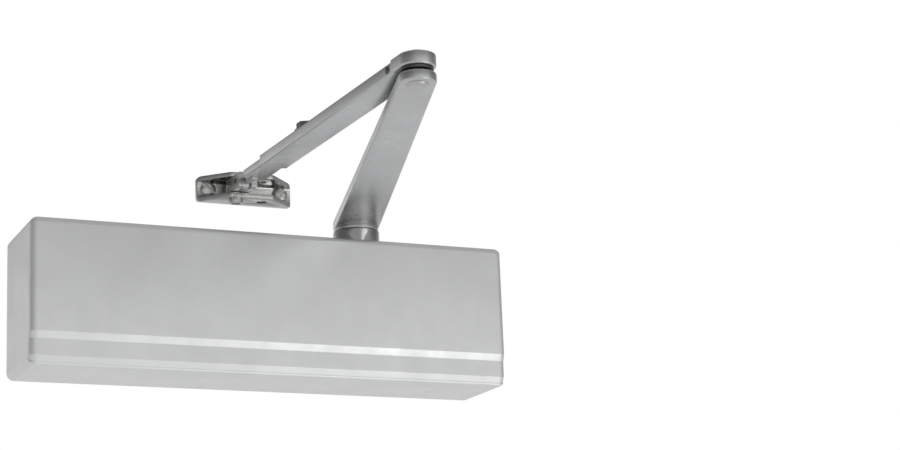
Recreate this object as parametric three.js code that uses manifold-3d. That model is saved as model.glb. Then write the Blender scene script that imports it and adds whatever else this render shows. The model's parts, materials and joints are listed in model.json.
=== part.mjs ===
// Surface-mounted hydraulic door closer with a double-lever arm, at rest with the door shut.
//
// Units are millimetres. X runs along the cover, -Y points out of the door, +Z is up. The origin is on
// the door side of the housing, at the middle of the cylinder. Each sub-part is one closed mesh.
import * as THREE from 'three';
import { mergeVertices } from 'three/addons/utils/BufferGeometryUtils.js';
import Module from 'manifold-3d';

const wasm = await Module();
wasm.setup();

// ---------------------------------------------------------------- driving dimensions

const GAP = 0.3; // running clearance between neighbouring pieces

const COVER = {
  length: 315, depth: 60, height: 92, wall: 2,
  taper: 1.2, // how much nearer the middle the top and bottom faces are at the back
  topRadius: 4, bottomRadius: 2.2, cornerRadius: 4.6,
  stepDepth: 1.8, upperStep: [16.4, 20.7], lowerStep: [2.2, 5.8], // heights above the bottom face
};
const SPINDLE = { x: 66.6, y: -30 }; // axis of the pinion, seen from above
const BORE = { y: SPINDLE.y, radius: 19, outer: 25, halfLength: 132 };
const BASE = { halfHeight: 20, earEnd: 150, earHalfHeight: 32, earThickness: 8 };
const TOWER = { radius: 20, halfHeight: 34, bore: 12.5 };
const SCREW_PATTERN = { x: 141, z: 24 }; // mounting screws, either side of the middle
const VALVE = { y: -16, z: 26, radius: 3, length: 27, boss: { y: [-26, -6], z: [18, 33], length: 46 } };

const GEAR = { module: 1.5, teeth: 12, pressureAngle: 25, addendum: 1.4, dedendum: 1.9, halfHeight: 11 };
const PITCH_RADIUS = (GEAR.module * GEAR.teeth) / 2; // piston travel per radian of spindle turn
const PISTON = { left: 26, right: 104, window: [50.5, 97.5], back: -18.5 };
const SPRING = { meanRadius: 14, wire: 2.8, turns: 9, stepsPerTurn: 12, left: -97.6 };
const SEAT = { x: -106, thickness: 8 };

const ARM = { length: 301, angle: 254.4, bottom: 60, thickness: 7, hub: 15, tip: 10.4 };
const BOSS = { bottom: 58, radius: 14.6 }; // the raised round under the arm's hub
const SQUARE = 12; // across the flats of the spindle's driving square
const FOREARM = { length: 259.7, angle: 92.8, z: 72.7 };
const KNUCKLE = { radius: 10.4, thickness: 7.6, tangEnd: 34 };
const TUBE = { start: 11.4, end: 198, width: 18.2, height: 7.3, wall: 1.1, seam: 0.8 };
const SLOT = { start: 110, end: 188, width: 6.6 };
const BAR = { start: 85, end: 228, shoulder: 5.6, width: 15.2, thickness: 4.5 };
const CLAMP_X = 148; // clamp screw, measured along the forearm from the elbow
const TONGUE = { pinX: 244.7, halfWidth: 2, radius: 5, neck: 2.6 };
const BLOCK = { front: 238.7, halfWidth: 6, halfHeight: 4.7 };
const SHOE = {
  length: 63, front: 26, depth: 19.9, height: 16, wall: 2.8,
  pivotDepth: 11.6, holeOffset: 8.6, screwOffset: 24,
};
const RIVET = { elbow: 4, shoe: 3, pin: 1.5 };

// Places worked out from the sizes above.
const BOTTOM = -COVER.height / 2;
const TOP = COVER.height / 2;
const elbow = alongArm(SPINDLE.x, SPINDLE.y, ARM.length, ARM.angle);
const pivot = alongArm(elbow.x, elbow.y, FOREARM.length, FOREARM.angle);
const shoeBack = pivot.y + SHOE.pivotDepth;
const shoeMiddle = pivot.x + SHOE.holeOffset;

function alongArm(x, y, length, degrees) {
  const angle = THREE.MathUtils.degToRad(degrees);
  return { x: x + length * Math.cos(angle), y: y + length * Math.sin(angle) };
}

// ---------------------------------------------------------------- solid helpers

function toSolid(geometry) {
  const bare = geometry.clone();
  bare.deleteAttribute('normal');
  bare.deleteAttribute('uv');
  const merged = mergeVertices(bare, 1e-4);
  return new wasm.Manifold(new wasm.Mesh({
    numProp: 3,
    vertProperties: new Float32Array(merged.attributes.position.array),
    triVerts: new Uint32Array(merged.index.array),
  }));
}

function toGeometry(solid) {
  const mesh = solid.getMesh();
  const geometry = new THREE.BufferGeometry();
  geometry.setAttribute('position', new THREE.BufferAttribute(mesh.vertProperties, 3));
  geometry.setIndex(new THREE.BufferAttribute(mesh.triVerts, 1));
  geometry.computeVertexNormals();
  return geometry;
}

function box([x0, x1], [y0, y1], [z0, z1]) {
  const geometry = new THREE.BoxGeometry(x1 - x0, y1 - y0, z1 - z0);
  geometry.translate((x0 + x1) / 2, (y0 + y1) / 2, (z0 + z1) / 2);
  return toSolid(geometry);
}

// A solid of revolution about a line through (x, y, z), from [radius, height] points.
function turned(profile, { x = 0, y = 0, z = 0, axis = 'z', segments = 24 } = {}) {
  const points = profile.map(([radius, height]) => new THREE.Vector2(radius, height));
  const geometry = new THREE.LatheGeometry(points, segments);
  geometry.rotateX(Math.PI / 2); // the lathe axis from +Y to +Z
  if (axis === 'x') geometry.rotateY(Math.PI / 2);
  if (axis === 'y') geometry.rotateX(-Math.PI / 2);
  geometry.translate(x, y, z);
  return toSolid(geometry);
}

function cylinder(radius, [from, to], options) {
  return turned([[0, from], [radius, from], [radius, to], [0, to]], options);
}

function ring(inner, outer, [from, to], options) {
  const section = [[inner, from], [outer, from], [outer, to], [inner, to], [inner, from]];
  return turned(section, options);
}

// An outline in the XY plane, raised from z0 to z1.
function prismZ(shape, [z0, z1], segments = 12) {
  const geometry = new THREE.ExtrudeGeometry(shape, {
    depth: z1 - z0, bevelEnabled: false, curveSegments: segments,
  });
  geometry.translate(0, 0, z0);
  return toSolid(geometry);
}

// An outline drawn as (y, z), pushed along X from x0 to x1.
function prismX(shape, [x0, x1], segments = 8) {
  const geometry = new THREE.ExtrudeGeometry(shape, {
    depth: x1 - x0, bevelEnabled: false, curveSegments: segments,
  });
  geometry.applyMatrix4(new THREE.Matrix4().set(0, 0, 1, x0, 1, 0, 0, 0, 0, 1, 0, 0, 0, 0, 0, 1));
  return toSolid(geometry);
}

// An outline drawn as (x, z), pushed along Y from y0 to y1.
function prismY(shape, [y0, y1], segments = 8) {
  const geometry = new THREE.ExtrudeGeometry(shape, {
    depth: y1 - y0, bevelEnabled: false, curveSegments: segments,
  });
  geometry.rotateX(Math.PI / 2);
  geometry.translate(0, y1, 0);
  return toSolid(geometry);
}

function polar([radius, angle]) {
  return new THREE.Vector2(radius * Math.cos(angle), radius * Math.sin(angle));
}

function regularPolygon(sides, acrossFlats, turn = 0) {
  const radius = acrossFlats / 2 / Math.cos(Math.PI / sides);
  const corners = Array.from({ length: sides }, (_, i) => [radius, turn + (2 * Math.PI * i) / sides]);
  return new THREE.Shape(corners.map(polar));
}

function at(solid, x, y, z = 0) {
  return solid.translate([x, y, z]);
}

const FINISH = {
  sprayedAluminium: { color: 0xb9bbbc, metalness: 0.55, roughness: 0.42 },
  castIron: { color: 0x55585a, metalness: 0.4, roughness: 0.6 },
  satinSteel: { color: 0xa6a8a8, metalness: 0.85, roughness: 0.35 },
  darkSteel: { color: 0x5b5d5e, metalness: 0.85, roughness: 0.4 },
  polishedSteel: { color: 0xc9cacb, metalness: 1, roughness: 0.2 },
  springSteel: { color: 0x70706c, metalness: 0.9, roughness: 0.35 },
  brass: { color: 0xb08d4a, metalness: 0.9, roughness: 0.35 },
  rubber: { color: 0x1b1b1b, metalness: 0, roughness: 0.85 },
};

const closer = new THREE.Group();
const mainArmGroup = new THREE.Group();
const forearmGroup = new THREE.Group();

function add(name, solid, finish, group = closer) {
  const mesh = new THREE.Mesh(toGeometry(solid), new THREE.MeshStandardMaterial(FINISH[finish]));
  mesh.name = name;
  group.add(mesh);
}

// ---------------------------------------------------------------- cover

// The cover's section, drawn as (y, z). Two shallow steps run along the lower front.
function coverSection(inset, back) {
  const front = -COVER.depth + inset;
  const top = TOP - inset;
  const bottom = BOTTOM + inset;
  const topRadius = COVER.topRadius - inset;
  const bottomRadius = Math.max(COVER.bottomRadius - inset, 0.4);
  const lowest = front + 2 * COVER.stepDepth;
  const shape = new THREE.Shape();
  shape.moveTo(back, top - COVER.taper);
  shape.lineTo(front + topRadius, top);
  shape.absarc(front + topRadius, top - topRadius, topRadius, Math.PI / 2, Math.PI, false);
  shape.lineTo(front, BOTTOM + COVER.upperStep[1]);
  shape.lineTo(front + COVER.stepDepth, BOTTOM + COVER.upperStep[0]);
  shape.lineTo(front + COVER.stepDepth, BOTTOM + COVER.lowerStep[1]);
  shape.lineTo(lowest, BOTTOM + COVER.lowerStep[0] + inset * 0.4);
  shape.absarc(lowest + bottomRadius, bottom + bottomRadius, bottomRadius, Math.PI, 1.5 * Math.PI, false);
  shape.lineTo(back, bottom + COVER.taper);
  shape.closePath();
  return shape;
}

function coverPlan(inset, back) {
  const end = COVER.length / 2 - inset;
  const front = -COVER.depth + inset;
  const radius = COVER.cornerRadius - inset;
  const shape = new THREE.Shape();
  shape.moveTo(-end, back);
  shape.lineTo(-end, front + radius);
  shape.absarc(-end + radius, front + radius, radius, Math.PI, 1.5 * Math.PI, false);
  shape.lineTo(end - radius, front);
  shape.absarc(end - radius, front + radius, radius, 1.5 * Math.PI, 2 * Math.PI, false);
  shape.lineTo(end, back);
  shape.closePath();
  return shape;
}

function coverFace(inset) {
  const end = COVER.length / 2 - inset;
  const height = COVER.height / 2 - inset;
  const radius = COVER.cornerRadius - inset;
  const shape = new THREE.Shape();
  shape.absarc(end - radius, height - radius, radius, 0, Math.PI / 2, false);
  shape.absarc(-end + radius, height - radius, radius, Math.PI / 2, Math.PI, false);
  shape.absarc(-end + radius, -height + radius, radius, Math.PI, 1.5 * Math.PI, false);
  shape.absarc(end - radius, -height + radius, radius, 1.5 * Math.PI, 2 * Math.PI, false);
  shape.closePath();
  return shape;
}

function coverForm(inset, back) {
  const reach = COVER.length / 2 + 1;
  const section = prismX(coverSection(inset, back), [-reach, reach], 5);
  const plan = prismZ(coverPlan(inset, back), [BOTTOM - 1, TOP + 1], 5);
  const face = prismY(coverFace(inset), [-COVER.depth - 1, back], 5);
  return section.intersect(plan).intersect(face);
}

const NOTCH_RADIUS = 15.6; // lets the cover slide on around the spindle collar

function makeCover() {
  const shell = coverForm(0, 0).subtract(coverForm(COVER.wall, 1));
  const aboveWall = [TOP - COVER.wall - COVER.taper - 1, TOP + 1];
  const notchEnd = cylinder(NOTCH_RADIUS, aboveWall, { ...SPINDLE, segments: 40 });
  const notchSides = box([SPINDLE.x - NOTCH_RADIUS, SPINDLE.x + NOTCH_RADIUS], [SPINDLE.y, 1], aboveWall);
  return shell.subtract(notchEnd).subtract(notchSides);
}

// ---------------------------------------------------------------- housing and what closes it

const alongBore = { y: BORE.y, axis: 'x', segments: 32 };

function makeHousing() {
  const { halfLength, outer, radius } = BORE;
  let body = cylinder(outer, [-halfLength, halfLength], alongBore);
  const height = [-BASE.halfHeight, BASE.halfHeight];
  body = body.add(box([-halfLength, halfLength], [BORE.y, 0], height));
  body = body.add(cylinder(TOWER.radius, [-TOWER.halfHeight, TOWER.halfHeight], SPINDLE));
  const earHeight = [-BASE.earHalfHeight, BASE.earHalfHeight];
  for (const side of [-1, 1]) {
    const ends = [side * (halfLength - 10), side * BASE.earEnd].sort((a, b) => a - b);
    body = body.add(box(ends, [-BASE.earThickness, 0], earHeight));
  }
  const { y, z, length } = VALVE.boss;
  body = body.add(box([halfLength - length, halfLength], y, z));
  body = body.add(box([halfLength - length, halfLength], y, [-z[1], -z[0]]));
  body = body.add(box([-halfLength, -halfLength + length], y, z));

  body = body.subtract(cylinder(radius, [-halfLength - 1, halfLength + 1], alongBore));
  const towerBore = [-TOWER.halfHeight - 1, TOWER.halfHeight + 1];
  body = body.subtract(cylinder(TOWER.bore, towerBore, SPINDLE));
  for (const x of [-SCREW_PATTERN.x, SCREW_PATTERN.x]) {
    for (const hole of [-SCREW_PATTERN.z, SCREW_PATTERN.z]) {
      const through = { x, z: hole, axis: 'y', segments: 20 };
      body = body.subtract(cylinder(3.5, [-BASE.earThickness - 1, 1], through));
    }
  }
  for (const { side, up } of Object.values(VALVE_PLACES)) {
    const span = [side * (halfLength - VALVE.length - 3), side * (halfLength + 1)].sort((a, b) => a - b);
    const hole = { y: VALVE.y, z: up * VALVE.z, axis: 'x', segments: 20 };
    body = body.subtract(cylinder(VALVE.radius + GAP, span, hole));
  }
  for (const side of [-1, 1]) {
    const hole = { x: side * CLIP.screwX, axis: 'y', segments: 16 };
    body = body.subtract(cylinder(CLIP.screwRadius + GAP, [-BASE.earThickness - 1, 1], hole));
  }
  return body;
}

const VALVE_PLACES = {
  sweep_valve: { side: 1, up: 1 },
  latch_valve: { side: 1, up: -1 },
  backcheck_valve: { side: -1, up: 1 },
};

function makeValve({ side, up }) {
  const end = BORE.halfLength - 0.5;
  const span = [side * (end - VALVE.length), side * end].sort((a, b) => a - b);
  const place = { y: VALVE.y, z: up * VALVE.z, axis: 'x', segments: 20 };
  const screw = cylinder(VALVE.radius, span, place);
  const slotX = [side * (end - 1.2), side * (end + 1)].sort((a, b) => a - b);
  const slotZ = [up * VALVE.z - 0.5, up * VALVE.z + 0.5];
  return screw.subtract(box(slotX, [VALVE.y - 4, VALVE.y + 4], slotZ));
}

const PLUG = { length: 20, flange: [134.2, 138], flangeRadius: 22, hexFlats: 14, hexEnd: 143 };

function makeEndPlug(side) {
  const inner = side * (BORE.halfLength - PLUG.length);
  const thread = cylinder(BORE.radius - GAP, [inner, side * PLUG.flange[0]].sort((a, b) => a - b), alongBore);
  const flangeSpan = PLUG.flange.map((x) => side * x).sort((a, b) => a - b);
  return thread.add(cylinder(PLUG.flangeRadius, flangeSpan, alongBore));
}

function makeRightPlug() {
  const hexagon = prismX(regularPolygon(6, PLUG.hexFlats), [PLUG.flange[1] - 0.5, PLUG.hexEnd]);
  return makeEndPlug(1).add(at(hexagon, 0, BORE.y));
}

const ADJUSTER = { shank: 4, head: [-144.6, -138.4], acrossFlats: 13, inner: -84 };

function makeLeftPlug() {
  const hole = cylinder(ADJUSTER.shank + GAP, [-PLUG.flange[1] - 1, -100], alongBore);
  return makeEndPlug(-1).subtract(hole);
}

function makePlugSeal(side) {
  const span = [side * (BORE.halfLength + GAP), side * (PLUG.flange[0] - GAP)].sort((a, b) => a - b);
  return ring(BORE.radius + 0.1, PLUG.flangeRadius, span, alongBore);
}

function makeSpringAdjuster() {
  const shank = cylinder(ADJUSTER.shank, [ADJUSTER.head[1] - 0.5, ADJUSTER.inner], alongBore);
  const head = prismX(regularPolygon(6, ADJUSTER.acrossFlats), ADJUSTER.head);
  return shank.add(at(head, 0, BORE.y));
}

function makeSpringSeat() {
  return ring(ADJUSTER.shank + GAP, BORE.radius - GAP, [SEAT.x, SEAT.x + SEAT.thickness], alongBore);
}

class Helix extends THREE.Curve {
  getPoint(t, target = new THREE.Vector3()) {
    const angle = 2 * Math.PI * SPRING.turns * t;
    const from = SPRING.left + SPRING.wire + GAP;
    const to = PISTON.left - SPRING.wire - GAP;
    const radius = SPRING.meanRadius;
    return target.set(from + (to - from) * t, BORE.y + radius * Math.cos(angle), radius * Math.sin(angle));
  }
}

function makeMainSpring() {
  const section = regularPolygon(6, 2 * SPRING.wire);
  const steps = SPRING.turns * SPRING.stepsPerTurn;
  return toSolid(new THREE.ExtrudeGeometry(section, { extrudePath: new Helix(), steps }));
}

// ---------------------------------------------------------------- pinion and piston

const PITCH = Math.PI * GEAR.module;
const TOOTH = PITCH / 2 - GAP; // tooth thickness on the pitch line, thinned for backlash
const GEAR_ANGLE = THREE.MathUtils.degToRad(GEAR.pressureAngle);

// Half the angle that a tooth spans at a radius, from the involute of the base circle.
function halfToothAngle(radius) {
  const involute = (angle) => Math.tan(angle) - angle;
  const base = PITCH_RADIUS * Math.cos(GEAR_ANGLE);
  const here = Math.acos(Math.min(base / radius, 1));
  return TOOTH / 2 / PITCH_RADIUS + involute(GEAR_ANGLE) - involute(here);
}

function pinionOutline() {
  const root = PITCH_RADIUS - GEAR.dedendum;
  const tip = PITCH_RADIUS + GEAR.addendum;
  const base = PITCH_RADIUS * Math.cos(GEAR_ANGLE);
  const radii = [root, base, (base + tip) / 2, tip];
  const points = [];
  for (let tooth = 0; tooth < GEAR.teeth; tooth += 1) {
    const middle = -Math.PI / 2 + (2 * Math.PI * tooth) / GEAR.teeth;
    const rising = radii.map((radius) => [radius, middle - halfToothAngle(radius)]);
    const falling = radii.map((radius) => [radius, middle + halfToothAngle(radius)]).reverse();
    points.push(...rising.concat(falling).map(polar));
  }
  return new THREE.Shape(points);
}

const SHAFT = { neck: 7, journal: 8.8, neckEnd: 19.6, lowerEnd: -41, top: 64.7, squareFrom: BOSS.bottom };
const ARM_SCREW = { radius: 3, end: 44 };

function makePinionShaft() {
  const { neck, journal, neckEnd, lowerEnd, top, squareFrom } = SHAFT;
  const teeth = at(prismZ(pinionOutline(), [-GEAR.halfHeight, GEAR.halfHeight]), SPINDLE.x, SPINDLE.y);
  let shaft = teeth.add(cylinder(neck, [-neckEnd - 1, neckEnd + 1], SPINDLE));
  shaft = shaft.add(cylinder(journal, [neckEnd, squareFrom], SPINDLE));
  shaft = shaft.add(cylinder(journal, [-36, -neckEnd], SPINDLE));
  const square = regularPolygon(4, SQUARE, THREE.MathUtils.degToRad(ARM.angle));
  shaft = shaft.add(at(prismZ(square, [squareFrom - 1, top]), SPINDLE.x, SPINDLE.y));
  shaft = shaft.add(at(prismZ(square, [lowerEnd, -35]), SPINDLE.x, SPINDLE.y));
  const tapped = cylinder(ARM_SCREW.radius + GAP, [ARM_SCREW.end - 1, top + 1], SPINDLE);
  return shaft.subtract(tapped);
}

// The rack's tooth line as (x, y), facing the pinion, closed behind it by the window's back edge.
function rackWindow() {
  const [left, right] = PISTON.window;
  const pitchLine = SPINDLE.y - PITCH_RADIUS;
  const tip = pitchLine + GEAR.addendum;
  const root = pitchLine - GEAR.dedendum;
  const slope = Math.tan(GEAR_ANGLE);
  const shape = new THREE.Shape();
  shape.moveTo(right, PISTON.back);
  shape.lineTo(left, PISTON.back);
  shape.lineTo(left, tip);
  const first = Math.ceil((left + PITCH / 2 - SPINDLE.x) / PITCH);
  const last = Math.floor((right - PITCH / 2 - SPINDLE.x) / PITCH);
  for (let gap = first; gap <= last; gap += 1) {
    const middle = SPINDLE.x + gap * PITCH;
    const half = (PITCH - TOOTH) / 2;
    const mouth = half + GEAR.addendum * slope;
    const floor = half - GEAR.dedendum * slope;
    shape.lineTo(middle - mouth, tip);
    shape.lineTo(middle - floor, root);
    shape.lineTo(middle + floor, root);
    shape.lineTo(middle + mouth, tip);
  }
  shape.lineTo(right, tip);
  shape.closePath();
  return shape;
}

const CHECK_VALVE = { radius: 2.5, length: 4.4, z: 11, y: BORE.y + 6 };

function makePiston() {
  const body = cylinder(BORE.radius - GAP, [PISTON.left, PISTON.right], alongBore);
  const window = prismZ(rackWindow(), [-BORE.radius, BORE.radius]);
  const seat = { y: CHECK_VALVE.y, z: CHECK_VALVE.z, axis: 'x', segments: 16 };
  const depth = [PISTON.right - CHECK_VALVE.length, PISTON.right + 1];
  const hole = cylinder(CHECK_VALVE.radius + GAP, depth, seat);
  return body.subtract(window).subtract(hole);
}

function makeCheckValve() {
  const place = { y: CHECK_VALVE.y, z: CHECK_VALVE.z, axis: 'x', segments: 16 };
  const span = [PISTON.right - CHECK_VALVE.length + GAP, PISTON.right - GAP];
  return cylinder(CHECK_VALVE.radius, span, place);
}

const BEARING = { from: 20, to: 30 };
const SEAL = { from: 30.4, to: 33 };
const CAP = { from: 33.3, shoulder: 34.3, to: 37.5, radius: 17 };
const COLLAR = { radius: 15.2, from: 38, to: BOSS.bottom - GAP };

function mirrored([from, to], side) {
  return side > 0 ? [from, to] : [-to, -from];
}

function makeBearing(side) {
  const span = mirrored([BEARING.from, BEARING.to], side);
  return ring(SHAFT.journal + GAP, TOWER.bore - GAP, span, SPINDLE);
}

function makeSeal(side) {
  const span = mirrored([SEAL.from, SEAL.to], side);
  return ring(SHAFT.journal + GAP, TOWER.bore - GAP, span, SPINDLE);
}

function makeBearingCap(side) {
  const inner = SHAFT.journal + GAP;
  const spigot = ring(inner, TOWER.bore - GAP, mirrored([CAP.from, CAP.shoulder + 0.5], side), SPINDLE);
  return spigot.add(ring(inner, CAP.radius, mirrored([CAP.shoulder, CAP.to], side), SPINDLE));
}

function makeSpindleCollar() {
  const place = { ...SPINDLE, segments: 48 };
  return ring(SHAFT.journal + GAP, COLLAR.radius, [COLLAR.from, COLLAR.to], place);
}

// ---------------------------------------------------------------- fasteners and cover clips

const MOUNT_SCREW = { radius: 2.9, head: 6, headHeight: 4, reach: 25 };

function makePanScrew({ radius, head, headHeight, reach }, x, z, seatY) {
  const place = { x, y: seatY, z, axis: 'y', segments: 20 };
  const dome = [[0, -headHeight], [head * 0.55, -headHeight * 0.92], [head * 0.9, -headHeight * 0.55]];
  const screw = turned([...dome, [head, 0], [radius, 0], [radius, reach], [0, reach]], place);
  const slotDepth = [seatY - headHeight - 1, seatY - headHeight + 1.2];
  const slot = box([x - head, x + head], slotDepth, [z - 0.6, z + 0.6]);
  return screw.subtract(slot);
}

const CLIP = { width: 20, thickness: 1.2, footStart: 139, reach: 34, screwX: 145.5, screwRadius: 1.9 };

// A bent strip, seen from above: a foot on the housing's ear and a leg that grips the cover's end.
function makeCoverClip(side) {
  const footY = -BASE.earThickness - GAP;
  const end = COVER.length / 2 - COVER.wall - GAP;
  const inside = end - CLIP.thickness;
  const outline = [
    [CLIP.footStart, footY], [end, footY], [end, footY - CLIP.reach],
    [inside, footY - CLIP.reach], [inside, footY - CLIP.thickness], [CLIP.footStart, footY - CLIP.thickness],
  ];
  const shape = new THREE.Shape(outline.map(([x, y]) => new THREE.Vector2(side * x, y)));
  const strip = prismZ(shape, [-CLIP.width / 2, CLIP.width / 2]);
  const hole = { x: side * CLIP.screwX, y: footY, axis: 'y', segments: 16 };
  return strip.subtract(cylinder(CLIP.screwRadius + GAP, [-3, 1], hole));
}

function makeClipScrew(side) {
  const seatY = -BASE.earThickness - CLIP.thickness - 2 * GAP;
  const size = { radius: CLIP.screwRadius, head: 3.6, headHeight: 2.2, reach: 9 };
  return makePanScrew(size, side * CLIP.screwX, 0, seatY);
}

// ---------------------------------------------------------------- main arm, along +X of its own group

const RECESS = { radius: 9.5, floor: 65, washerTop: 66.9 };

// The outline of a bar with a big round end and a small one, with its flanks tangent to both.
function taperedBar(big, small, length, inset = 0) {
  const lean = Math.asin((big - small) / length);
  const shape = new THREE.Shape();
  const from = Math.PI / 2 - lean;
  shape.absarc(0, 0, big - inset, from, 2 * Math.PI - from, false);
  shape.absarc(length, 0, small - inset, -from, from, false);
  shape.closePath();
  return shape;
}

function makeMainArm() {
  const edge = 1.2;
  const outline = taperedBar(ARM.hub, ARM.tip, ARM.length, edge);
  const bar = new THREE.ExtrudeGeometry(outline, {
    depth: ARM.thickness - 2 * edge,
    bevelThickness: edge, bevelSize: edge, bevelSegments: 2, curveSegments: 16,
  });
  bar.translate(0, 0, ARM.bottom + edge);
  let arm = toSolid(bar);
  arm = arm.add(cylinder(BOSS.radius, [BOSS.bottom, ARM.bottom + 2], { segments: 40 }));
  arm = arm.subtract(prismZ(regularPolygon(4, SQUARE + 2 * GAP), [BOSS.bottom - 1, RECESS.floor + 1]));
  arm = arm.subtract(cylinder(RECESS.radius, [RECESS.floor, RECESS.floor + 5]));
  const through = [ARM.bottom - 1, ARM.bottom + ARM.thickness + 1];
  return arm.subtract(cylinder(RIVET.elbow + GAP, through, { x: ARM.length }));
}

function makeArmWasher() {
  return ring(ARM_SCREW.radius + GAP, RECESS.radius - GAP, [RECESS.floor + GAP, RECESS.washerTop]);
}

function makeArmScrew() {
  const seat = RECESS.washerTop + GAP;
  const head = prismZ(regularPolygon(6, 10), [seat, seat + 4]);
  return head.add(cylinder(ARM_SCREW.radius, [ARM_SCREW.end, seat + 0.5], { segments: 20 }));
}

const ELBOW = {
  arm: ARM.bottom + ARM.thickness,
  washer: [ARM.bottom + ARM.thickness + GAP, FOREARM.z - KNUCKLE.thickness / 2 - GAP],
  top: FOREARM.z + KNUCKLE.thickness / 2,
};

function makeElbowRivet() {
  const under = ARM.bottom - GAP;
  const over = ELBOW.top + GAP;
  return turned([
    [0, under - 1.3], [3.2, under - 1.1], [5.2, under - 0.6], [6, under],
    [RIVET.elbow, under], [RIVET.elbow, over],
    [6.4, over], [5.6, over + 1], [3.4, over + 1.8], [0, over + 2.1],
  ], { x: ARM.length, segments: 28 });
}

function makeElbowWasher() {
  return ring(RIVET.elbow + GAP, 9, ELBOW.washer, { x: ARM.length });
}

// ---------------------------------------------------------------- forearm, along +X of its own group

function span(middle, width) {
  return [middle - width / 2, middle + width / 2];
}

const tubeInner = { width: TUBE.width - 2 * TUBE.wall, height: TUBE.height - 2 * TUBE.wall };
const KNUCKLE_PIN = { x: 18, radius: 1.2 };

function makeElbowKnuckle() {
  const height = span(FOREARM.z, KNUCKLE.thickness);
  const neck = box([0, TUBE.start - GAP], span(0, 2 * KNUCKLE.radius), height);
  let knuckle = cylinder(KNUCKLE.radius, height, { segments: 40 }).add(neck);
  const tang = box(
    [5, KNUCKLE.tangEnd], span(0, tubeInner.width - 2 * GAP), span(FOREARM.z, tubeInner.height - 2 * GAP),
  );
  knuckle = knuckle.add(tang);
  knuckle = knuckle.subtract(cylinder(RIVET.elbow + GAP, [height[0] - 1, height[1] + 1]));
  const across = { x: KNUCKLE_PIN.x, z: FOREARM.z, axis: 'y', segments: 16 };
  return knuckle.subtract(cylinder(KNUCKLE_PIN.radius + GAP, [-12, 12], across));
}

function makeKnucklePin() {
  const across = { x: KNUCKLE_PIN.x, z: FOREARM.z, axis: 'y', segments: 20 };
  const wall = TUBE.width / 2 + GAP;
  const shank = KNUCKLE_PIN.radius;
  return turned([
    [0, -wall - 0.6], [1.4, -wall - 0.5], [2.3, -wall], [shank, -wall],
    [shank, wall], [2.3, wall], [1.4, wall + 0.5], [0, wall + 0.6],
  ], across);
}

function slotOutline() {
  const radius = SLOT.width / 2;
  const shape = new THREE.Shape();
  shape.absarc(SLOT.start + radius, 0, radius, Math.PI / 2, 1.5 * Math.PI, false);
  shape.absarc(SLOT.end - radius, 0, radius, -Math.PI / 2, Math.PI / 2, false);
  shape.closePath();
  return shape;
}

// Folded from strip, with its seam and the adjusting slot on top.
function makeForearmTube() {
  const edge = 1;
  const section = new THREE.Shape();
  const halfWidth = TUBE.width / 2;
  const halfHeight = TUBE.height / 2;
  section.absarc(halfWidth - edge, halfHeight - edge, edge, 0, Math.PI / 2, false);
  section.absarc(-halfWidth + edge, halfHeight - edge, edge, Math.PI / 2, Math.PI, false);
  section.absarc(-halfWidth + edge, -halfHeight + edge, edge, Math.PI, 1.5 * Math.PI, false);
  section.absarc(halfWidth - edge, -halfHeight + edge, edge, 1.5 * Math.PI, 2 * Math.PI, false);
  section.closePath();
  const outside = at(prismX(section, [TUBE.start, TUBE.end], 3), 0, 0, FOREARM.z);
  const length = [TUBE.start - 1, TUBE.end + 1];
  const inside = box(length, span(0, tubeInner.width), span(FOREARM.z, tubeInner.height));
  const topWall = [FOREARM.z, FOREARM.z + halfHeight + 1];
  const seam = box(length, span(0, TUBE.seam), topWall);
  const slot = prismZ(slotOutline(), topWall, 8);
  const across = { x: KNUCKLE_PIN.x, z: FOREARM.z, axis: 'y', segments: 16 };
  const pinHole = cylinder(KNUCKLE_PIN.radius + GAP, [-halfWidth - 1, halfWidth + 1], across);
  return outside.subtract(inside).subtract(seam).subtract(slot).subtract(pinHole);
}

// ---------------------------------------------------------------- slide, clamp and universal joint

function makeSlideBar() {
  const half = BAR.width / 2;
  const tongue = TONGUE.halfWidth;
  const outline = new THREE.Shape();
  outline.moveTo(BAR.start, -half);
  outline.lineTo(BAR.end, -half);
  outline.lineTo(BAR.end + BAR.shoulder, -tongue);
  outline.lineTo(BAR.end + BAR.shoulder, tongue);
  outline.lineTo(BAR.end, half);
  outline.lineTo(BAR.start, half);
  outline.closePath();
  let bar = prismZ(outline, span(FOREARM.z, BAR.thickness));
  const blade = box([BAR.end, TONGUE.pinX], span(0, 2 * tongue), span(FOREARM.z, 2 * TONGUE.neck));
  const across = { x: TONGUE.pinX, z: FOREARM.z, axis: 'y', segments: 24 };
  bar = bar.add(blade).add(cylinder(TONGUE.radius, [-tongue, tongue], across));
  bar = bar.subtract(cylinder(RIVET.pin + GAP, [-tongue - 1, tongue + 1], across));
  const clampHole = { x: CLAMP_X, segments: 20 };
  return bar.subtract(cylinder(CLAMP.radius + GAP, [FOREARM.z - 4, FOREARM.z + 4], clampHole));
}

const CLAMP = {
  radius: 2.9,
  washer: [FOREARM.z + TUBE.height / 2 + GAP, FOREARM.z + TUBE.height / 2 + 1.6],
  head: [FOREARM.z + TUBE.height / 2 + 1.9, FOREARM.z + TUBE.height / 2 + 6],
  end: FOREARM.z - 2.1,
};

function makeClampWasher() {
  return ring(CLAMP.radius + GAP, 7, CLAMP.washer, { x: CLAMP_X });
}

function makeClampScrew() {
  const head = at(prismZ(regularPolygon(6, 10), CLAMP.head), CLAMP_X, 0);
  return head.add(cylinder(CLAMP.radius, [CLAMP.end, CLAMP.head[0] + 0.5], { x: CLAMP_X, segments: 20 }));
}

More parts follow.
